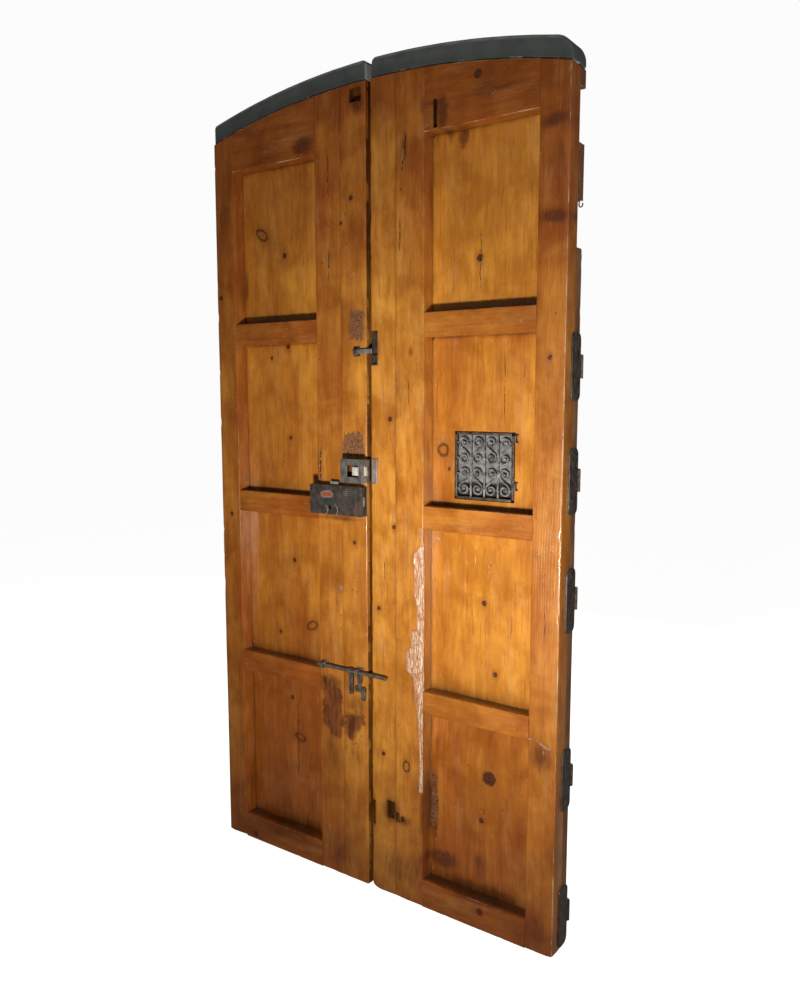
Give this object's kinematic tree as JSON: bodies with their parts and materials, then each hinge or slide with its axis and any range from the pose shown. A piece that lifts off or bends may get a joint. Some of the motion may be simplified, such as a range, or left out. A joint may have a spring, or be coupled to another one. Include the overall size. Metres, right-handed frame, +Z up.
{
  "type": "arched wooden double door",
  "caption": "Old arched pine double door: panelled leaves boarded behind, iron hinge plates, rim lock, latch, slide bolt, catch and a scrollwork iron grille.",
  "frame": {"origin": "middle of the closed pair's box at floor level: half way across, half way front to back, at the foot of the leaves", "axes": "+X to the right seen from the panelled inner face, +Y out through the boarded back, +Z up; the panelled face with the locks looks to -Y"},
  "size_m": [1.3066, 0.147, 2.5659],
  "materials": {
    "frame_wood": "worn gloss varnish on old pine",
    "panel_wood": "worn gloss varnish on old pine",
    "board_wood": "old dull varnish",
    "grey_paint": "dull dark grey paint on wood",
    "dark_iron": "dark forged iron with rust",
    "grey_iron": "dull grey iron",
    "worn_steel": "dull scratched steel",
    "copper_brown_iron": "brown rusted iron"
  },
  "bodies": {
    "hinge_side": {"wall_hinge_plates_left": "dark_iron", "wall_hinge_plates_right": "dark_iron", "hinge_pins_left": "dark_iron", "hinge_pins_right": "dark_iron"},
    "right_leaf": {"right_hinge_stile": "frame_wood", "right_stile_board_inner": "frame_wood", "right_stile_board_outer": "frame_wood", "right_top_rail": "frame_wood", "right_upper_rail": "frame_wood", "right_second_rail": "frame_wood", "right_lower_rail": "frame_wood", "right_bottom_rail": "frame_wood", "right_panel_1": "panel_wood", "right_panel_2": "panel_wood", "right_panel_3": "panel_wood", "right_panel_4": "panel_wood", "right_back_boards": "board_wood", "right_top_strip": "grey_paint", "right_door_hinge_plates": "dark_iron", "right_hinge_screws": "worn_steel", "latch_strike": "copper_brown_iron", "catch_socket": "dark_iron", "keyhole_iron": "dark_iron", "bent_nail": "dark_iron", "grille_pintles": "dark_iron", "grille_backing": "grey_iron"},
    "left_leaf": {"left_hinge_stile": "frame_wood", "left_stile_board_inner": "frame_wood", "left_stile_board_outer": "frame_wood", "left_top_rail": "frame_wood", "left_upper_rail": "frame_wood", "left_second_rail": "frame_wood", "left_lower_rail": "frame_wood", "left_bottom_rail": "frame_wood", "left_panel_1": "panel_wood", "left_panel_2": "panel_wood", "left_panel_3": "panel_wood", "left_panel_4": "panel_wood", "left_back_boards": "board_wood", "left_top_strip": "grey_paint", "left_door_hinge_plates": "dark_iron", "left_hinge_screws": "worn_steel", "lock_case": "dark_iron", "lock_back_plate": "dark_iron", "latch_case": "worn_steel", "bolt_keepers": "dark_iron", "hasp_staple": "dark_iron", "catch_plate": "dark_iron"},
    "slide_bolt": {"slide_bolt_bar": "dark_iron"},
    "hasp": {"bolt_hasp": "dark_iron"},
    "catch": {"catch_bar": "worn_steel"},
    "lock_bolt_body": {"lock_bolt": "worn_steel"},
    "latch_bolt_body": {"latch_bolt": "worn_steel"},
    "grille_door": {"grille": "grey_iron"}
  },
  "joints": [
    {"name": "right_leaf_swing", "type": "hinge", "parent": "hinge_side", "child": "right_leaf", "pos_m": [0.6463, 0.0665, 0], "axis": [0, 0, -1], "range_deg": [0, 120]},
    {"name": "left_leaf_swing", "type": "hinge", "parent": "hinge_side", "child": "left_leaf", "pos_m": [-0.6463, 0.0665, 0], "axis": [0, 0, 1], "range_deg": [0, 90]},
    {"name": "slide_bolt_draw", "type": "slide", "parent": "left_leaf", "child": "slide_bolt", "axis": [-1, 0, 0], "range_m": [0, 0.088]},
    {"name": "hasp_lift", "type": "hinge", "parent": "slide_bolt", "child": "hasp", "pos_m": [-0.06, -0.0495, 0.717], "axis": [-1, 0, 0], "range_deg": [0, 90]},
    {"name": "catch_turn", "type": "hinge", "parent": "left_leaf", "child": "catch", "pos_m": [-0.04, -0.03925, 1.723], "axis": [0, -1, 0], "range_deg": [0, 90]},
    {"name": "lock_bolt_throw", "type": "slide", "parent": "left_leaf", "child": "lock_bolt_body", "axis": [1, 0, 0], "range_m": [0, 0.02]},
    {"name": "latch_bolt_throw", "type": "slide", "parent": "left_leaf", "child": "latch_bolt_body", "axis": [1, 0, 0], "range_m": [0, 0.012]},
    {"name": "grille_swing", "type": "hinge", "parent": "right_leaf", "child": "grille_door", "pos_m": [0.484, 0.0075, 1.388], "axis": [0, 0, 1], "range_deg": [0, 110]}
  ],
  "couplings": [
    {"joint": "left_leaf_swing", "follows": "right_leaf_swing", "ratio": 0.75}
  ]
}
